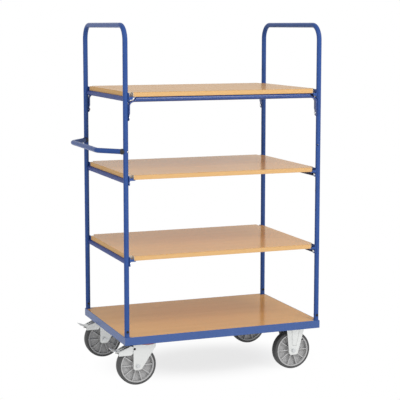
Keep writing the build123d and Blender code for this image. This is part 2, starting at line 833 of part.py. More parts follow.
def brake_lever(x, y):
    """The brake lever: two side plates, a slotted sloping web over the tyre and a slotted tread."""
    tread_dx = lever_end - tread_end
    tread_rise = tread_end_rise - lever_end_rise
    tread_middle = Vector(-(lever_end + tread_end) / 2, 0, (lever_end_rise + tread_end_rise) / 2)
    web_middle = Vector(-(lever_start + lever_end) / 2, 0, (lever_start_rise + lever_end_rise) / 2)
    wheel_middle = Vector(x, y, axle_z)
    tread_plane = Plane(
        wheel_middle + tread_middle, x_dir=(tread_dx, 0, tread_rise), z_dir=(tread_rise, 0, -tread_dx)
    )
    web_plane = Plane(wheel_middle + web_middle, x_dir=(1, 0, lever_slope), z_dir=(-lever_slope, 0, 1))
    with BuildPart() as lever:
        for side in (-1, 1):
            with BuildSketch(front_plane(x, y + side * (lever_gap + lever_wall) / 2, axle_z)):
                with BuildLine():
                    Polyline(
                        (-lever_start, lever_start_rise),
                        (-lever_end, lever_end_rise),
                        (-lever_end, lever_skirt_rise),
                        (-lever_start, lever_skirt_rise),
                    )
                    CenterArc((-pivot_back, pivot_rise), pivot_eye_radius, 0, 360)
                make_hull()
                with Locations((-pivot_back, pivot_rise)):
                    Circle(pivot_d / 2 + running_clearance, mode=Mode.SUBTRACT)
            extrude(amount=lever_wall / 2, both=True)
        with BuildSketch(front_plane(x, y, axle_z)):
            with BuildLine():
                Line((-lever_start, lever_start_rise), (-lever_end, lever_end_rise))
            trace(line_width=lever_wall)
            with Locations((-lever_end, lever_end_rise)):
                Circle(lever_wall / 2)
        extrude(amount=lever_gap / 2 + lever_wall, both=True)
        with BuildSketch(front_plane(x, y, axle_z)):
            with BuildLine():
                Line((-lever_end, lever_end_rise), (-tread_end, tread_end_rise))
            trace(line_width=lever_wall)
            with Locations((-lever_end, lever_end_rise), (-tread_end, tread_end_rise)):
                Circle(lever_wall / 2)
        extrude(amount=tread_width / 2, both=True)
        with BuildSketch(tread_plane):
            with Locations((0, -tread_slot_pitch / 2), (0, tread_slot_pitch / 2)):
                SlotOverall(tread_slot_length, tread_slot_width)
        extrude(amount=2 * lever_wall, both=True, mode=Mode.SUBTRACT)
        with BuildSketch(web_plane):
            with Locations((0, -web_slot_pitch / 2), (0, web_slot_pitch / 2)):
                SlotOverall(web_slot_length, web_slot_width)
        extrude(amount=lever_wall, both=True, mode=Mode.SUBTRACT)
    return lever.part


def brake_shoe(x, y):
    """The shoe under the lever's web that stops just above the tread of a braked wheel."""
    press = radians(press_angle)
    wheel_dx = -pivot_back + pivot_back * cos(press) - pivot_rise * sin(press)
    wheel_rise = pivot_rise - pivot_back * sin(press) - pivot_rise * cos(press)
    web_drop = lever_wall / 2 * sqrt(1 + lever_slope**2)
    start_rise = lever_start_rise - web_drop - lever_slope * (shoe_start - lever_start)
    end_rise = lever_start_rise - web_drop - lever_slope * (shoe_end - lever_start)
    with BuildPart() as shoe:
        with BuildSketch(front_plane(x, y, axle_z)):
            with BuildLine():
                Polyline(
                    (-shoe_start, start_rise),
                    (-shoe_end, end_rise),
                    (-shoe_end, wheel_rise),
                    (-shoe_start, wheel_rise),
                    close=True,
                )
            make_face()
            with Locations((wheel_dx, wheel_rise)):
                Circle(wheel_radius + shoe_gap, mode=Mode.SUBTRACT)
        extrude(amount=shoe_width / 2, both=True)
    return shoe.part


def pivot_rivets(x, y):
    """The two rivets that the brake lever turns on, one in each fork leg."""
    inner = lever_gap / 2 - 1
    with BuildPart() as rivets:
        for side in (-1, 1):
            outer_y = y + side * fork_width / 2
            with BuildSketch(front_plane(x - pivot_back, outer_y, axle_z + pivot_rise)):
                Circle(pivot_d / 2)
            extrude(amount=side * (fork_width / 2 - inner))
            with BuildSketch(front_plane(x - pivot_back, outer_y, axle_z + pivot_rise)):
                Circle(pivot_head_d / 2)
            extrude(amount=-side * pivot_head, taper=30)
    return rivets.part


os.makedirs("parts", exist_ok=True)

save("front_rail", rim_rail((1, 0, 0), base_length / 2, base_width / 2))
save("right_rail", rim_rail((0, 1, 0), base_width / 2, base_length / 2))
save("rear_rail", rim_rail((-1, 0, 0), base_length / 2, base_width / 2))
save("left_rail", rim_rail((0, -1, 0), base_width / 2, base_length / 2))
save("left_caster_channel", caster_channel(left_caster_x))
save("right_caster_channel", caster_channel(right_caster_x))
save("corner_spigots", corner_spigots())
save("base_board", base_board())

save("left_hoop", hoop(left_x, 1))
save("right_hoop", hoop(right_x, -1))
save("left_rungs", end_rungs(-1))
save("right_rungs", end_rungs(1))
for level, shelf_top in shelf_tops.items():
    save(f"{level}_shelf_board", shelf_board(shelf_top))
    save(f"{level}_shelf_brackets", shelf_brackets(shelf_top, hung=level == "upper"))
save("front_long_tube", long_tube(-1))
save("rear_long_tube", long_tube(1))
save("push_handle", push_handle())

save("shelf_bolts", shelf_bolts())
save("foot_bolts", foot_bolts())
save("board_screws", board_screws())
save("caster_bolts", caster_bolts())

for corner_name, caster_row in fixed_casters.items():
    save(f"{corner_name}_fork", fixed_fork(right_caster_x, caster_row))
    save(f"{corner_name}_axle", axle(right_caster_x, caster_row))
    save(f"{corner_name}_bearing", wheel_bearing(right_caster_x, caster_row))
    save(f"{corner_name}_rim", wheel_rim(right_caster_x, caster_row))
    save(f"{corner_name}_tyre", tyre(right_caster_x, caster_row))

wheel_x = left_caster_x - trail
for corner_name, caster_row in swivel_casters.items():
    save(f"{corner_name}_plate", swivel_plate(left_caster_x, caster_row))
    save(f"{corner_name}_kingpin", kingpin(left_caster_x, caster_row))
    save(f"{corner_name}_ball_race", ball_race(left_caster_x, caster_row))
    save(f"{corner_name}_dust_seal", dust_seal(left_caster_x, caster_row))
    save(f"{corner_name}_fork", swivel_fork(left_caster_x, caster_row))
    save(f"{corner_name}_axle", axle(wheel_x, caster_row))
    save(f"{corner_name}_bearing", wheel_bearing(wheel_x, caster_row))
    save(f"{corner_name}_rim", wheel_rim(wheel_x, caster_row))
    save(f"{corner_name}_tyre", tyre(wheel_x, caster_row))
    save(f"{corner_name}_brake_lever", brake_lever(wheel_x, caster_row))
    save(f"{corner_name}_brake_shoe", brake_shoe(wheel_x, caster_row))
    save(f"{corner_name}_pivot_rivets", pivot_rivets(wheel_x, caster_row))
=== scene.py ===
"""Shelf trolley: finishes, handle collars and bolts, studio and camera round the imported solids."""
import logging
import math
from dataclasses import dataclass, replace
from enum import Enum
from typing import Any, NamedTuple, Optional, Union

import bpy
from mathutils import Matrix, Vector


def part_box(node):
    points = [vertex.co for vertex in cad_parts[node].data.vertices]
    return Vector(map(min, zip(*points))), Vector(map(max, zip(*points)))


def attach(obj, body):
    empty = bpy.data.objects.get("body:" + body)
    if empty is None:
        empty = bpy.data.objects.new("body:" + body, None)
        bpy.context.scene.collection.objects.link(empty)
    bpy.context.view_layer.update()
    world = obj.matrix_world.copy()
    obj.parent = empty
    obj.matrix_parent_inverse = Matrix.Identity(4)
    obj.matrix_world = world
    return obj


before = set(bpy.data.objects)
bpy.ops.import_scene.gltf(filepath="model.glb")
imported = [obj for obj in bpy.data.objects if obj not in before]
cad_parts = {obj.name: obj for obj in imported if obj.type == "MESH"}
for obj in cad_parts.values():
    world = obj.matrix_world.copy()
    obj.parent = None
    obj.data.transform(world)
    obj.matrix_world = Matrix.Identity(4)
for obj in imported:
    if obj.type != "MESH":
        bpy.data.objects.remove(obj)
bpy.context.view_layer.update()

SMOOTH_ANGLE = math.radians(40)
LOG = logging.getLogger("shelf_trolley")

Rgb = tuple[float, float, float]
Xyz = tuple[float, float, float]
Span = tuple[float, float]
Number = Union["Wire", float]

WHITE: Rgb = (1.0, 1.0, 1.0)


def screen(red: int, green: int, blue: int) -> Rgb:
    """Turn a colour as a screen shows it into linear light.

    Args:
        red: Red, 0 to 255.
        green: Green, 0 to 255.
        blue: Blue, 0 to 255.

    Returns:
        The three linear values.
    """
    full = 255
    toe, slope = 0.04045, 12.92
    offset, power = 0.055, 2.4

    def linear(value: float) -> float:
        """Undo the screen's tone curve for one channel."""
        return value / slope if value <= toe else ((value + offset) / (1 + offset)) ** power

    return linear(red / full), linear(green / full), linear(blue / full)


class Slot(Enum):
    """Material slots of the record that several pieces share."""

    BLUE_PAINT = "blue_paint"
    ZINC_STEEL = "zinc_steel"
    STEEL_FASTENER = "steel_fastener"
    DARK_FASTENER = "dark_fastener"
    BEARING_STEEL = "bearing_steel"
    RIM_PLASTIC = "rim_plastic"
    TYRE = "tyre"
    RED_SEAL = "red_seal"
    BRAKE_RUBBER = "brake_rubber"


class Wire:
    """One output socket, with arithmetic that adds Math nodes to its shader."""

    def __init__(self, shader: "Shader", socket: bpy.types.NodeSocket) -> None:
        """Hold the shader and the socket that the value comes from."""
        self.shader = shader
        self.socket = socket

    def _math(self, operation: str, first: Number, second: Number) -> "Wire":
        """Add one Math node and give its value."""
        return self.shader.add("ShaderNodeMath", {"operation": operation}, {0: first, 1: second})

    def __add__(self, other: Number) -> "Wire":
        """Sum."""
        return self._math("ADD", self, other)

    __radd__ = __add__

    def __sub__(self, other: Number) -> "Wire":
        """Difference."""
        return self._math("SUBTRACT", self, other)

    def __rsub__(self, other: float) -> "Wire":
        """Difference from a plain number."""
        return self._math("SUBTRACT", other, self)

    def __mul__(self, other: Number) -> "Wire":
        """Product."""
        return self._math("MULTIPLY", self, other)

    __rmul__ = __mul__

    def __abs__(self) -> "Wire":
        """Size without sign."""
        return self._math("ABSOLUTE", self, 0.0)

    def at_most(self, other: Number) -> "Wire":
        """The smaller of the two."""
        return self._math("MINIMUM", self, other)

    def rise(self, low: float, high: float) -> "Wire":
        """Run smoothly from 0 at low to 1 at high.

        Args:
            low: Value where the result leaves 0.
            high: Value where the result reaches 1.

        Returns:
            The mask.
        """
        settings = {"interpolation_type": "SMOOTHSTEP"}
        return self.shader.add("ShaderNodeMapRange", settings, {0: self, 1: low, 2: high})


@dataclass(frozen=True)
class Pattern:
    """A cloud pattern: cells per metre, octaves, and what it does to a finish.

    Limits make it a mask. Share is its part in the colour, and haze its part in the roughness.
    """

    scale: float
    detail: float = 2.0
    rough: float = 0.5
    bend: float = 0.0
    stretch: Xyz = (1.0, 1.0, 1.0)
    limits: Optional[Span] = None
    share: float = 0.0
    haze: float = 0.0


class Shader:
    """The node tree of a material or of the world while it is being written."""

    def __init__(self, owner: Union[bpy.types.Material, bpy.types.World]) -> None:
        """Start an empty node tree.

        Args:
            owner: The material or world that holds the tree.
        """
        owner.use_nodes = True
        self.owner = owner
        self.tree = owner.node_tree
        self.tree.nodes.clear()

    @classmethod
    def material(cls, name: str) -> "Shader":
        """Start a new material."""
        return cls(bpy.data.materials.new(name))

    def _node(self, kind: str, settings: Optional[dict[str, Any]],
              inputs: Optional[dict[Union[int, str], Any]]) -> bpy.types.Node:
        """Add a node, set it up and feed its sockets.

        Args:
            kind: Blender's name of the node type.
            settings: Properties of the node.
            inputs: Values or wires, by socket name or number.

        Returns:
            The node.
        """
        node = self.tree.nodes.new(kind)
        for key, value in (settings or {}).items():
            setattr(node, key, value)
        for key, value in (inputs or {}).items():
            self._feed(node.inputs[key], value)
        return node

    def _feed(self, socket: bpy.types.NodeSocket, value: Any) -> None:
        """Link a wire to a socket, or set the socket's own value.

        Args:
            socket: The input socket.
            value: A wire, a number, a colour or a vector.
        """
        if isinstance(value, Wire):
            self.tree.links.new(value.socket, socket)
        elif socket.type == "RGBA":
            socket.default_value = (*value, 1.0)
        else:
            socket.default_value = value

    def add(self, kind: str, settings: Optional[dict[str, Any]] = None,
            inputs: Optional[dict[Union[int, str], Any]] = None,
            output: Union[int, str] = 0) -> Wire:
        """Add a node and give one of its outputs.

        Args:
            kind: Blender's name of the node type.
            settings: Properties of the node.
            inputs: Values or wires, by socket name or number.
            output: The output socket that is wanted.

        Returns:
            The wire of that output.
        """
        return Wire(self, self._node(kind, settings, inputs).outputs[output])

    def place(self, stretch: Xyz = (1.0, 1.0, 1.0), move: Xyz = (0.0, 0.0, 0.0)) -> Wire:
        """Object coordinates, scaled and moved for a pattern.

        Args:
            stretch: Factors along X, Y and Z.
            move: Offset along X, Y and Z.

        Returns:
            The coordinate wire.
        """
        here = self.add("ShaderNodeTexCoord", output="Object")
        inputs = {"Vector": here, "Location": move, "Scale": stretch}
        return self.add("ShaderNodeMapping", None, inputs)

    def noise(self, pattern: Pattern, move: Xyz = (0.0, 0.0, 0.0)) -> Wire:
        """Cloud noise from 0 to 1, as a mask where the pattern has limits.

        Args:
            pattern: The pattern.
            move: Offset along X, Y and Z.

        Returns:
            The noise value or mask.
        """
        inputs = {"Vector": self.place(pattern.stretch, move), "Scale": pattern.scale,
                  "Detail": pattern.detail, "Roughness": pattern.rough,
                  "Distortion": pattern.bend}
        value = self.add("ShaderNodeTexNoise", None, inputs, "Fac")
        return value if pattern.limits is None else value.rise(*pattern.limits)

    def cells(self, where: Wire, scale: float) -> Wire:
        """Distance from the middles of Voronoi cells, so many to the metre."""
        return self.add("ShaderNodeTexVoronoi", None, {"Vector": where, "Scale": scale}, "Distance")

    def mix(self, share: Number, first: Union[Wire, Rgb], second: Union[Wire, Rgb]) -> Wire:
        """Blend two colours.

        Args:
            share: 0 for the first, 1 for the second.
            first: First colour.
            second: Second colour.

        Returns:
            The colour wire.
        """
        return self.add("ShaderNodeMix", {"data_type": "RGBA"}, {0: share, 6: first, 7: second}, 2)

    def axis(self, vector: Wire, name: str) -> Wire:
        """One component, X, Y or Z, of a vector."""
        return self.add("ShaderNodeSeparateXYZ", None, {0: vector}, name)

    def facing(self, name: str) -> Wire:
        """One component of the surface's outward direction."""
        return self.axis(self.add("ShaderNodeNewGeometry", output="Normal"), name)

    def bump(self, height: Wire, strength: float, depth: float) -> Wire:
        """Turn a height into a tilted surface direction.

        Args:
            height: Height from 0 to 1.
            strength: Share of the effect.
            depth: Height in metres.

        Returns:
            The normal wire.
        """
        inputs = {"Height": height, "Strength": strength, "Distance": depth}
        return self.add("ShaderNodeBump", None, inputs)

    def seen(self) -> Wire:
        """1 where a surface is seen, straight, in gloss or through glass, and 0 where it lights.

        Returns:
            The mask.
        """
        straight, gloss, glass = (self.add("ShaderNodeLightPath", output=f"Is {kind} Ray")
                                  for kind in ("Camera", "Glossy", "Transmission"))
        return (straight + gloss + glass).at_most(1.0)

    def blend(self, share: Wire, first: Wire, second: Wire) -> Wire:
        """Blend two surfaces or backgrounds."""
        return self.add("ShaderNodeMixShader", None, {0: share, 1: first, 2: second})

    def close(self, surface: Wire, kind: str = "ShaderNodeOutputMaterial") -> None:
        """Link a surface or background to the tree's output node."""
        self._node(kind, None, {"Surface": surface})

    def finish(self, **inputs: Any) -> bpy.types.Material:
        """Close the material with a principled surface.

        Args:
            **inputs: Socket values, spaces written as underscores.

        Returns:
            The finished material.
        """
        named = {key.replace("_", " "): value for key, value in inputs.items()}
        self.close(self.add("ShaderNodeBsdfPrincipled", None, named))
        return self.owner


@dataclass(frozen=True)
class BluePowderCoat:
    """Satin powder coat with a fine orange-peel surface."""

    name: str = "lightened_blue_powder_coat"
    deep: Rgb = screen(41, 67, 125)
    bright: Rgb = screen(58, 88, 150)
    dust_and_sheen_colour: Rgb = screen(128, 142, 178)
    rough: float = 0.18
    gloss: float = 0.14
    peel: float = 0.05
    peel_depth: float = 0.0004
    level: Span = (0.75, 1.0)
    cloud: Pattern = Pattern(4.0, 3.0, share=0.7, haze=0.06)
    speck: Pattern = Pattern(160.0, share=0.3, haze=0.05)
    dust_and_sheen: Pattern = Pattern(22.0, 4.0, limits=(0.35, 0.8), share=0.04, haze=0.1)
    orange_peel: Pattern = Pattern(520.0, 1.0)

    def make(self) -> bpy.types.Material:
        """Write the material.

        Returns:
            The blue paint.
        """
        shader = Shader.material(self.name)
        cloud = shader.noise(self.cloud)
        speck = shader.noise(self.speck)
        # Up-facing surfaces are mixed towards a paler blue: partly settled dust, partly a painted
        # highlight on the tops.
        dust_and_sheen = shader.facing("Z").rise(*self.level) * shader.noise(self.dust_and_sheen)
        depth = cloud * self.cloud.share + speck * self.speck.share
        colour = shader.mix(depth, self.deep, self.bright)
        colour = shader.mix(dust_and_sheen * self.dust_and_sheen.share, colour, self.dust_and_sheen_colour)
        rough = self.rough + cloud * self.cloud.haze + speck * self.speck.haze
        rough = rough + dust_and_sheen * self.dust_and_sheen.haze
        tilt = shader.bump(shader.noise(self.orange_peel), self.peel, self.peel_depth)
        return shader.finish(Base_Color=colour, Roughness=rough, Specular_IOR_Level=self.gloss,
                             Normal=tilt)


class Grain(NamedTuple):
    """Wires of a board that its face, its edges and its relief share."""

    figure: Wire
    fibre: Wire
    fleck: Wire
    edge: Wire


@dataclass(frozen=True)
class BeechDecor:
    """Beech-decor laminate board with lighter banded edges and sawn notches."""

    name: str
    top: float
    thickness: float
    notch: Optional[Xyz] = None
    tone: float = 1.0
    gloss: float = 0.03
    smooth: float = 0.1
    shaded_underside: bool = False
    pale: Rgb = screen(225, 175, 108)
    warm: Rgb = screen(209, 157, 90)
    vein: Rgb = screen(172, 120, 68)
    band: Rgb = screen(208, 168, 116)
    end_band: Rgb = screen(200, 156, 106)
    seam: Rgb = screen(156, 112, 70)
    # Sawn chipboard colour, paler than plain chipboard: partly the core's own colour, partly a
    # painted highlight in the notches.
    raw_and_highlight: Rgb = screen(238, 226, 206)
    underside_painted_shade: Rgb = screen(58, 50, 45)
    board_step: float = 1.7
    plank: Pattern = Pattern(3.0, bend=0.3, stretch=(0.35, 6.0, 6.0), share=0.55)
    figure: Pattern = Pattern(4.0, 4.0, 0.6, 0.6, stretch=(1.0, 22.0, 22.0), share=0.45)
    fibre: Pattern = Pattern(2.0, 3.0, 0.6, stretch=(6.0, 420.0, 420.0), share=0.22, haze=0.04)
    fleck: Pattern = Pattern(1.0, 1.0, stretch=(90.0, 900.0, 900.0), limits=(0.62, 0.72), share=0.30)
    smear: Pattern = Pattern(7.0, 4.0, haze=0.07)
    veined: Span = (0.45, 0.85)
    upright: Span = (0.35, 0.75)
    edge_haze: float = 0.36
    band_veined: Span = (0.4, 0.9)
    band_fibre: float = 0.25
    band_figure: float = 0.2
    seam_inset: float = 0.0012
    seam_half: Span = (0.0002, 0.0005)
    seam_share: float = 0.6
    sawn_near: float = 0.001
    sawn_full: float = 0.0003
    chip_stretch: Xyz = (1.0, 1.0, 1.6)
    chip_scale: float = 420.0
    chip_share: float = 0.25
    underside: Span = (0.6, 0.9)
    fleck_sink: float = -0.6
    relief: float = 0.08
    relief_depth: float = 0.0002

    def _shade(self, colour: Rgb) -> Rgb:
        """A wood colour darkened by this board's tone, which is painted shade."""
        red, green, blue = colour
        return red * self.tone, green * self.tone, blue * self.tone

    def _shift(self) -> Xyz:
        """Offset that gives each board its own stretch of the grain."""
        return 0.0, self.top * self.board_step, 0.0

    def _grain(self, shader: Shader) -> Grain:
        """Draw the grain, which runs along the length.

        Args:
            shader: The material being written.

        Returns:
            The grain's wires and the mask of the upright edges.
        """
        figure, fibre, fleck = (shader.noise(pattern, self._shift())
                                for pattern in (self.figure, self.fibre, self.fleck))
        edge = 1.0 - abs(shader.facing("Z")).rise(*self.upright)
        return Grain(figure, fibre, fleck, edge)

    def _face(self, shader: Shader, grain: Grain) -> Wire:
        """Colour the decor of the top and the underside.

        Args:
            shader: The material being written.
            grain: The board's grain.

        Returns:
            The colour.
        """
        plank = shader.noise(self.plank, self._shift())
        light = plank * self.plank.share + grain.figure * self.figure.share
        colour = shader.mix(light, self._shade(self.warm), self._shade(self.pale))
        colour = shader.mix(grain.fibre.rise(*self.veined) * self.fibre.share, colour, self.vein)
        return shader.mix(grain.fleck * self.fleck.share, colour, self.vein)

    def _banding(self, shader: Shader, grain: Grain, colour: Wire) -> Wire:
        """Lay the banding on the edges, with a thin seam above and below it.

        Args:
            shader: The material being written.
            grain: The board's grain.
            colour: Colour of the faces.

        Returns:
            The colour of faces and edges.
        """
        drawn = grain.fibre.rise(*self.band_veined) * self.band_fibre
        banded = shader.mix(drawn + grain.figure * self.band_figure, self.band, self.end_band)
        colour = shader.mix(grain.edge, colour, banded)
        height = shader.axis(shader.place(), "Z")
        upper, lower = (1.0 - abs(height - level).rise(*self.seam_half)
                        for level in (self.top - self.seam_inset,
                                      self.top - self.thickness + self.seam_inset))
        return shader.mix((upper + lower) * grain.edge * self.seam_share, colour, self.seam)

    def _sawn(self, shader: Shader, grain: Grain, colour: Wire) -> Wire:
        """Show raw chipboard on the sawn faces of the corner notches, made pale enough to be a
        painted highlight there as well.

        Args:
            shader: The material being written.
            grain: The board's grain.
            colour: Colour of faces and edges.

        Returns:
            The colour with the sawn faces.
        """
        middle, far_x, far_y = self.notch
        here = shader.place()
        along = abs(shader.axis(here, "X") - middle)
        across = abs(shader.axis(here, "Y"))
        along, across = (run.rise(far - self.sawn_near, far - self.sawn_full)
                         for run, far in ((along, far_x), (across, far_y)))
        chips = shader.cells(shader.place(self.chip_stretch), self.chip_scale)
        sawn = shader.mix(chips * self.chip_share, self.raw_and_highlight, self.pale)
        return shader.mix(along * across * grain.edge, colour, sawn)

    def make(self) -> bpy.types.Material:
        """Write the material.

        Returns:
            The board's decor.
        """
        shader = Shader.material(self.name)
        grain = self._grain(shader)
        colour = self._banding(shader, grain, self._face(shader, grain))
        if self.notch is not None:
            colour = self._sawn(shader, grain, colour)
        # The base board's downward faces are painted near black: painted shade under the frame.
        if self.shaded_underside:
            below = (0.0 - shader.facing("Z")).rise(*self.underside)
            colour = shader.mix(below, colour, self.underside_painted_shade)
        smear = shader.noise(self.smear, self._shift())
        rough = self.smooth + smear * self.smear.haze + grain.fibre * self.fibre.haze
        rough = rough + grain.edge * self.edge_haze
        relief = grain.fibre + grain.fleck * self.fleck_sink
        return shader.finish(Base_Color=colour, Roughness=rough, Specular_IOR_Level=self.gloss,
                             Normal=shader.bump(relief, self.relief, self.relief_depth))


@dataclass(frozen=True)
class Plating:
    """Plated steel with faint cloudy crystals."""

    name: str
    bright: Rgb
    dull: Rgb
    rough: float
    metal: float
    crystal: float
    cloud: Pattern = Pattern(14.0, 4.0, 0.6, share=0.5, haze=0.10)
    flake: Pattern = Pattern(1.0, 2.0, 0.6, 0.8, share=0.3, haze=0.06)
    stain: Pattern = Pattern(45.0, 5.0, 0.65, limits=(0.55, 0.8), share=0.3, haze=0.10)
    relief: float = 0.08
    relief_depth: float = 0.0003

    def make(self) -> bpy.types.Material:
        """Write the material.

        Returns:
            The plated steel.
        """
        shader = Shader.material(self.name)
        cloud = shader.noise(self.cloud)
        flake = shader.noise(replace(self.flake, scale=self.crystal))
        stain = shader.noise(self.stain)
        dulled = cloud * self.cloud.share + flake * self.flake.share + stain * self.stain.share
        rough = self.rough + cloud * self.cloud.haze + stain * self.stain.haze
        rough = rough + flake * self.flake.haze
        return shader.finish(Base_Color=shader.mix(dulled, self.bright, self.dull),
                             Roughness=rough, Metallic=self.metal,
                             Normal=shader.bump(flake, self.relief, self.relief_depth))


@dataclass(frozen=True)
class Moulded:
    """Moulded plastic or rubber with a matt skin."""

    name: str
    tone: Rgb
    worn: Rgb
    rough: float
    skin_scale: float
    skin_depth: float
    cloud: Pattern = Pattern(18.0, 4.0, share=0.45, haze=0.10)
    skin: Pattern = Pattern(1.0, 3.0, 0.6, share=0.2, haze=0.08)
    scuff: Pattern = Pattern(60.0, 5.0, 0.7, stretch=(1.0, 6.0, 1.0), limits=(0.58, 0.78), share=0.35)
    relief: float = 0.25

    def make(self) -> bpy.types.Material:
        """Write the material.

        Returns:
            The moulded material.
        """
        shader = Shader.material(self.name)
        cloud = shader.noise(self.cloud)
        skin = shader.noise(replace(self.skin, scale=self.skin_scale))
        scuff = shader.noise(self.scuff)
        wear = cloud * self.cloud.share + skin * self.skin.share + scuff * self.scuff.share
        rough = self.rough + cloud * self.cloud.haze + skin * self.skin.haze
        return shader.finish(Base_Color=shader.mix(wear, self.tone, self.worn), Roughness=rough,
                             Normal=shader.bump(skin, self.relief, self.skin_depth))


class Paint(Enum):
    """Copies of the one blue powder coat, by what they cover; the base copy is lighter as painted
    light and reflection, the rung copies darker as painted shade.
    """

    # Base frame: a paler copy of the blue, as painted light and reflection on the rails.
    BASE = BluePowderCoat(deep=screen(60, 83, 134), bright=screen(74, 99, 154))
    TUBES = BluePowderCoat("tube_powder_coat", rough=0.22, gloss=0.07)
    LONG_TUBES = BluePowderCoat("gloss_powder_coat", screen(28, 54, 112), screen(42, 72, 136),
                                rough=0.1, gloss=0.45, peel=0.015)
    # Left rungs: the blue darkened to navy as painted shade under the boards.
    LEFT_RUNGS = BluePowderCoat("navy_painted_shade_powder_coat", screen(34, 52, 116), screen(48, 68, 134),
                                rough=0.36)
    # Right rungs: the blue darkened to near black as painted shade, for the shadow under the boards.
    RIGHT_RUNGS = BluePowderCoat("painted_shade_powder_coat", screen(20, 27, 58), screen(28, 38, 76),
                                 rough=0.4, gloss=0.04)


FINISHES: dict[Slot, Union[BluePowderCoat, Plating, Moulded]] = {
    # The blue paint slot takes the base frame's lightened blue, which is painted light.
    Slot.BLUE_PAINT: Paint.BASE.value,
    Slot.ZINC_STEEL: Plating("zinc_steel", screen(217, 218, 216), screen(192, 194, 194),
                             rough=0.46, metal=1.0, crystal=260.0),
    Slot.STEEL_FASTENER: Plating("steel_fastener", screen(226, 227, 226), screen(180, 182, 183),
                                 rough=0.26, metal=0.95, crystal=420.0),
    Slot.DARK_FASTENER: Plating("dark_fastener", screen(34, 34, 38), screen(20, 20, 23),
                                rough=0.42, metal=0.4, crystal=420.0),
    Slot.BEARING_STEEL: Plating("bearing_steel", screen(208, 210, 211), screen(176, 178, 180),
                                rough=0.28, metal=0.95, crystal=500.0),
    Slot.RIM_PLASTIC: Moulded("rim_plastic", screen(166, 166, 166), screen(184, 184, 184),
                              rough=0.46, skin_scale=700.0, skin_depth=0.0003),
    Slot.TYRE: Moulded("tyre", screen(58, 58, 59), screen(84, 84, 84),
                       rough=0.62, skin_scale=900.0, skin_depth=0.0005),
    Slot.RED_SEAL: Moulded("red_seal", screen(150, 26, 38), screen(170, 50, 56),
                           rough=0.45, skin_scale=600.0, skin_depth=0.0002),
    Slot.BRAKE_RUBBER: Moulded("brake_rubber", screen(36, 36, 37), screen(54, 54, 55),
                               rough=0.7, skin_scale=800.0, skin_depth=0.0005),
}


def deselect() -> None:
    """Leave edit mode and deselect everything."""
    if bpy.context.object is not None and bpy.context.object.mode != "OBJECT":
        bpy.ops.object.mode_set(mode="OBJECT")
    bpy.ops.object.select_all(action="DESELECT")


def pick(piece: bpy.types.Object) -> None:
    """Select one piece alone and make it the active one."""
    deselect()
    piece.select_set(True)
    bpy.context.view_layer.objects.active = piece


def settle(piece: bpy.types.Object, name: str, body: str) -> bpy.types.Object:
    """Name a new piece, put its place into its mesh and let it ride on a body.

    Args:
        piece: The mesh object.
        name: Its name.
        body: The body that carries it.

    Returns:
        The same object.
    """
    pick(piece)
    bpy.ops.object.transform_apply(location=True, rotation=True, scale=True)
    bpy.ops.object.shade_smooth_by_angle(angle=SMOOTH_ANGLE)
    deselect()
    piece.name = name
    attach(piece, body)
    LOG.info("made %s", name)
    return piece


def coat(piece: bpy.types.Object, material: bpy.types.Material) -> None:
    """Give a piece one material all over.

    Args:
        piece: The piece.
        material: Its finish.
    """
    piece.data.materials.clear()
    piece.data.materials.append(material)
    LOG.info("dressed %s in %s", piece.name, material.name)


def cylinder(radius: float, depth: float, facets: int, middle: Vector, along: Vector,
             capped: bool = True) -> bpy.types.Object:
    """Add a cylinder along a direction.

    Args:
        radius: Its radius.
        depth: Its length.
        facets: Number of its sides.
        middle: Its middle point.
        along: The way its axis points.
        capped: Whether its ends are closed.

    Returns:
        The cylinder.
    """
    deselect()
    ends = "NGON" if capped else "NOTHING"
    turn = along.to_track_quat("Z", "Y").to_euler()
    bpy.ops.mesh.primitive_cylinder_add(vertices=facets, radius=radius, depth=depth,
                                        end_fill_type=ends, location=middle, rotation=turn)
    return bpy.context.object


def apply_all(piece: bpy.types.Object) -> None:
    """Turn every modifier of a piece into mesh.

    Args:
        piece: The piece.
    """
    pick(piece)
    for modifier in list(piece.modifiers):
        bpy.ops.object.modifier_apply(modifier=modifier.name)


def cut(piece: bpy.types.Object, tool: bpy.types.Object) -> None:
    """Take one solid out of another and drop it.

    Args:
        piece: What stays.
        tool: What is taken out.
    """
    taken = piece.modifiers.new("cut", "BOOLEAN")
    taken.operation = "DIFFERENCE"
    taken.solver = "EXACT"
    taken.object = tool
    apply_all(piece)
    pick(tool)
    bpy.ops.object.delete()


def soften(piece: bpy.types.Object, width: float, steps: int) -> None:
    """Round the sharp edges of a piece.

    Args:
        piece: The piece.
        width: Width of the rounding.
        steps: Faces across it.
    """
    edge = piece.modifiers.new("edge", "BEVEL")
    edge.width = width
    edge.segments = steps
    edge.limit_method = "ANGLE"
    edge.angle_limit = SMOOTH_ANGLE
    apply_all(piece)


@dataclass
class BaseFrame:
    """The rimmed base frame, its channels, corner spigots and base board."""

    rails: tuple[str, ...] = ("front_rail", "right_rail", "rear_rail", "left_rail")
    inner: tuple[str, ...] = ("left_caster_channel", "right_caster_channel", "corner_spigots")
    board: str = "base_board"
    # The base board's decor is darkened slightly as painted shade.
    tone: float = 0.93

    def dress(self, paint: bpy.types.Material) -> None:
        """Paint the steel and lay the decor on the board.

        Args:
            paint: Finish of the steel.
        """
        for name in (*self.rails, *self.inner):
            coat(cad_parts[name], paint)
        low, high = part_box(self.board)
        decor = BeechDecor("base_decor", high.z, high.z - low.z, tone=self.tone, shaded_underside=True)
        coat(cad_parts[self.board], decor.make())


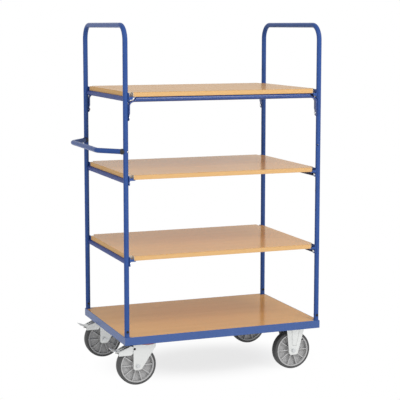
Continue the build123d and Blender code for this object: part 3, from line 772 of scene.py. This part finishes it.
@dataclass
class Shelving:
    """The shelf boards, their brackets, cross tubes and long tubes."""

    notch_x: float = 0.480
    notch_y: float = 0.317
    levels: tuple[str, ...] = ("lower", "middle", "upper")
    # Each board's decor is darkened by its own tone as painted shade; the upper board, which gets the
    # most light, is darkened most.
    shade_tones: tuple[float, ...] = (0.96, 0.92, 0.8)
    glosses: tuple[float, ...] = (0.032, 0.02, 0.012)
    smooths: tuple[float, ...] = (0.1, 0.12, 0.18)
    tubes: tuple[str, ...] = ("front_long_tube", "rear_long_tube")

    def dress(self, paint: bpy.types.Material) -> None:
        """Paint the steel and lay the decor on the boards.

        Args:
            paint: Finish of the brackets.
        """
        glossy = Paint.LONG_TUBES.value.make()
        for name in self.tubes:
            coat(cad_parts[name], glossy)
        # Both rung paints are darker copies of the one blue: painted shade under the boards.
        coat(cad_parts["left_rungs"], Paint.LEFT_RUNGS.value.make())
        coat(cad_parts["right_rungs"], Paint.RIGHT_RUNGS.value.make())
        for level, tone, gloss, smooth in zip(self.levels, self.shade_tones, self.glosses, self.smooths):
            coat(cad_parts[f"{level}_shelf_brackets"], paint)
            board = f"{level}_shelf_board"
            low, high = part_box(board)
            notch = ((low.x + high.x) / 2, self.notch_x, self.notch_y)
            decor = BeechDecor(f"{level}_decor", high.z, high.z - low.z, notch, tone, gloss, smooth)
            coat(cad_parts[board], decor.make())


@dataclass
class EndFrames:
    """The two hoops and the push handle, with the handle's collars and bolts."""

    body: str = "frame"
    tube_radius: float = 0.0125
    handle_reach: float = 0.108
    handle_bar_half: float = 0.224
    fit_gap: float = 0.0003
    saddle_wall: float = 0.0016
    saddle_length: float = 0.0105
    saddle_round: float = 0.0004
    saddle_round_steps: int = 2
    post_bores: float = 4.0
    bolt_radius: float = 0.0060
    bolt_height: float = 0.0022
    bolt_sunk: float = 0.0020
    bolt_round: float = 0.6
    bolt_round_steps: int = 4
    socket_radius: float = 0.0029
    socket_sides: int = 6
    socket_reach: float = 0.75
    socket_round: float = 0.0001
    facets: int = 48
    nodes: tuple[str, ...] = ("left_hoop", "right_hoop", "push_handle")

    def _height(self) -> float:
        """Height of the handle's middle line."""
        low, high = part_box("push_handle")
        return (low.z + high.z) / 2

    def _joint(self) -> tuple[Vector, Vector]:
        """Where the handle meets the front post.

        Returns:
            The point on the post's middle line and the way the handle leaves it.
        """
        low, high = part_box("left_hoop")
        post = Vector(((low.x + high.x) / 2, low.y + self.tube_radius, self._height()))
        run = Vector((-self.handle_reach, -self.handle_bar_half - post.y, 0.0))
        return post, run.normalized()

    def _saddle(self) -> bpy.types.Object:
        """The coped collar round the handle's front end.

        Returns:
            The collar.
        """
        post, run = self._joint()
        bore = self.tube_radius + self.fit_gap
        depth = self.tube_radius + self.saddle_length
        collar = cylinder(bore, depth, self.facets, post + run * depth / 2, run, capped=False)
        upright = Vector((0.0, 0.0, 1.0))
        post_space = cylinder(bore, self.post_bores * bore, self.facets, post, upright)
        wall = collar.modifiers.new("wall", "SOLIDIFY")
        wall.thickness = self.saddle_wall
        wall.offset = 1.0
        cut(collar, post_space)
        soften(collar, self.saddle_round, self.saddle_round_steps)
        return collar

    def _bolt(self) -> bpy.types.Object:
        """The button-head bolt on the far side of the front post from the handle.

        Returns:
            The bolt head.
        """
        post, run = self._joint()
        depth = self.bolt_sunk + self.bolt_height
        middle = post - run * (self.tube_radius - self.bolt_sunk + depth / 2)
        head = cylinder(self.bolt_radius, depth, self.facets, middle, run)
        soften(head, self.bolt_height * self.bolt_round, self.bolt_round_steps)
        outer = middle - run * depth * self.socket_reach
        cut(head, cylinder(self.socket_radius, depth, self.socket_sides, outer, run))
        soften(head, self.socket_round, 1)
        return head

    def _rear_copy(self, piece: bpy.types.Object) -> bpy.types.Object:
        """Copy a front piece and turn it half round, over to the rear post.

        Args:
            piece: The front piece.

        Returns:
            The rear piece, with its own mesh.
        """
        pick(piece)
        bpy.ops.object.duplicate(linked=False)
        bpy.ops.transform.rotate(value=math.pi, orient_axis="X",
                                 center_override=(0.0, 0.0, self._height()))
        return bpy.context.object

    def build(self, saddle: bpy.types.Material, steel: bpy.types.Material) -> None:
        """Fit the collars and bolts of the handle.

        Args:
            saddle: Finish of the collars.
            steel: Finish of the bolts.
        """
        for name, front, slot, finish in (
            ("handle_saddle", self._saddle(), Slot.BRAKE_RUBBER, saddle),
            ("handle_bolt", self._bolt(), Slot.STEEL_FASTENER, steel),
        ):
            rear = self._rear_copy(front)
            for piece, place in ((front, "front"), (rear, "rear")):
                coat(settle(piece, f"{name}_{place}", self.body), finish)

    def dress(self, paint: bpy.types.Material) -> None:
        """Paint the hoops and the handle."""
        for name in self.nodes:
            coat(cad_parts[name], paint)


@dataclass
class Casters:
    """The four casters with their wheels, brakes and pivots."""

    fixed: tuple[str, ...] = ("right_front", "right_rear")
    swivel: tuple[str, ...] = ("left_front", "left_rear")
    zinc: tuple[str, ...] = ("fork", "plate", "brake_lever")
    steel: tuple[str, ...] = ("kingpin",)
    bearings: tuple[str, ...] = ("axle", "bearing", "ball_race")

    def _pieces(self) -> list[tuple[str, Slot]]:
        """Every piece that a caster can have, with its slot.

        Returns:
            Names and slots.
        """
        named = [(name, Slot.ZINC_STEEL) for name in self.zinc]
        named += [(name, Slot.STEEL_FASTENER) for name in self.steel]
        named += [(name, Slot.BEARING_STEEL) for name in self.bearings]
        named += [("rim", Slot.RIM_PLASTIC), ("tyre", Slot.TYRE), ("dust_seal", Slot.RED_SEAL)]
        named += [("brake_shoe", Slot.BRAKE_RUBBER), ("pivot_rivets", Slot.DARK_FASTENER)]
        return named

    def dress(self, finishes: dict[Slot, bpy.types.Material]) -> None:
        """Give every caster piece its finish; a fixed caster lacks some of them.

        Args:
            finishes: The made materials by slot.
        """
        for corner in (*self.fixed, *self.swivel):
            for piece, slot in self._pieces():
                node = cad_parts.get(f"{corner}_{piece}")
                if node is not None:
                    coat(node, finishes[slot])


@dataclass
class Fasteners:
    """Bolts and screws of the frame."""

    steel: tuple[str, ...] = ("shelf_bolts", "caster_bolts", "board_screws")
    dark: tuple[str, ...] = ("foot_bolts",)

    def dress(self, finishes: dict[Slot, bpy.types.Material]) -> None:
        """Give the bolts and screws their plating.

        Args:
            finishes: The made materials by slot.
        """
        for name in self.steel:
            coat(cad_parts[name], finishes[Slot.STEEL_FASTENER])
        for name in self.dark:
            coat(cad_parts[name], finishes[Slot.DARK_FASTENER])


@dataclass(frozen=True)
class Lamp:
    """One soft lamp: where it hangs, the sides of its face and its watts."""

    name: str
    place: Xyz
    width: float
    height: float
    power: float

    def hang(self, target: Vector) -> None:
        """Hang the lamp and point it at the trolley.

        Args:
            target: The point it shines at.
        """
        light = bpy.data.lights.new(self.name, "AREA")
        light.energy = self.power
        light.shape = "RECTANGLE"
        light.size = self.width
        light.size_y = self.height
        holder = bpy.data.objects.new(self.name, light)
        bpy.context.scene.collection.objects.link(holder)
        holder.location = self.place
        aim = target - Vector(self.place)
        holder.rotation_euler = aim.to_track_quat("-Z", "Y").to_euler()
        LOG.info("hung lamp %s", self.name)


@dataclass
class Studio:
    """Pale floor, white surroundings, soft lamps and the camera."""

    image_width: float = 400.0
    focal_pixels: float = 1263.2234
    centre_x: float = 198.6917
    shift_y: float = -0.05
    stand: Xyz = (-2.31806, -6.16381, 1.78892)
    yaw: float = -0.3664
    pitch: float = 0.12218
    sensor: float = 36.0
    nearest: float = 0.1
    farthest: float = 200.0
    floor_size: float = 60.0
    floor_drop: float = 0.0005
    floor_tone: Rgb = (0.86, 0.86, 0.86)
    floor_glow: float = 0.77
    shade_scale: Xyz = (1.5, 2.2, 1.0)
    shade_move: Xyz = (-0.15, -0.04, 0.0)
    shade_fade: Span = (0.35, 1.0)
    ambient: float = 0.64
    target_height: float = 0.85
    lamps: tuple[Lamp, ...] = (
        Lamp("main", (1.4, -4.8, 5.2), 3.4, 3.4, 205.0),
        Lamp("low_left", (-3.0, -5.6, 0.35), 3.6, 0.6, 54.0),
        Lamp("low_right", (2.6, -5.2, 0.35), 3.6, 0.6, 30.0),
        Lamp("side", (-5.6, -1.6, 2.6), 3.0, 3.0, 45.0),
    )

    def build(self) -> None:
        """Set up floor, surroundings, lamps and camera."""
        self._floor()
        self._surroundings()
        for lamp in self.lamps:
            lamp.hang(Vector((0.0, 0.0, self.target_height)))
        self._camera()
        bpy.context.scene.view_settings.view_transform = "Standard"

    def _floor(self) -> None:
        """Lay the pale floor, which fades into white away from the trolley."""
        deselect()
        bpy.ops.mesh.primitive_plane_add(size=self.floor_size, location=(0.0, 0.0, -self.floor_drop))
        floor = bpy.context.object
        floor.name = "floor"
        shader = Shader.material("floor_white")
        here = shader.place(self.shade_scale, self.shade_move)
        span = shader.add("ShaderNodeVectorMath", {"operation": "LENGTH"}, {0: here}, "Value")
        fade = self.floor_glow + span.rise(*self.shade_fade) * (1.0 - self.floor_glow)
        matt = shader.add("ShaderNodeBsdfDiffuse", None, {"Color": self.floor_tone})
        glow = shader.add("ShaderNodeEmission", None, {"Color": WHITE, "Strength": 1.0})
        shader.close(shader.blend(fade * shader.seen(), matt, glow))
        coat(floor, shader.owner)

    def _surroundings(self) -> None:
        """Light the trolley softly from all round and show white behind it."""
        world = bpy.data.worlds.new("white_room")
        bpy.context.scene.world = world
        shader = Shader(world)
        light, white = (shader.add("ShaderNodeBackground", None, {"Color": WHITE, "Strength": power})
                        for power in (self.ambient, 1.0))
        shader.close(shader.blend(shader.seen(), light, white), "ShaderNodeOutputWorld")

    def _camera(self) -> None:
        """Stand the camera at the photograph's viewing angle."""
        data = bpy.data.cameras.new("camera")
        data.sensor_width = self.sensor
        data.sensor_fit = "HORIZONTAL"
        data.lens = self.focal_pixels * self.sensor / self.image_width
        data.shift_x = (self.image_width / 2 - self.centre_x) / self.image_width
        data.shift_y = self.shift_y
        data.clip_start = self.nearest
        data.clip_end = self.farthest
        camera = bpy.data.objects.new("camera", data)
        bpy.context.scene.collection.objects.link(camera)
        camera.location = self.stand
        camera.rotation_euler = (math.pi / 2 - self.pitch, 0.0, self.yaw)
        bpy.context.scene.camera = camera


def main() -> None:
    """Build and dress the trolley, then set up the studio."""
    logging.basicConfig(level=logging.INFO, format="%(message)s")
    finishes = {slot: finish.make() for slot, finish in FINISHES.items()}
    tube_paint = Paint.TUBES.value.make()
    end_frames = EndFrames()
    end_frames.build(finishes[Slot.BRAKE_RUBBER], finishes[Slot.STEEL_FASTENER])
    end_frames.dress(tube_paint)
    BaseFrame().dress(finishes[Slot.BLUE_PAINT])
    Shelving().dress(tube_paint)
    Casters().dress(finishes)
    Fasteners().dress(finishes)
    Studio().build()


if __name__ == "__main__":
    main()
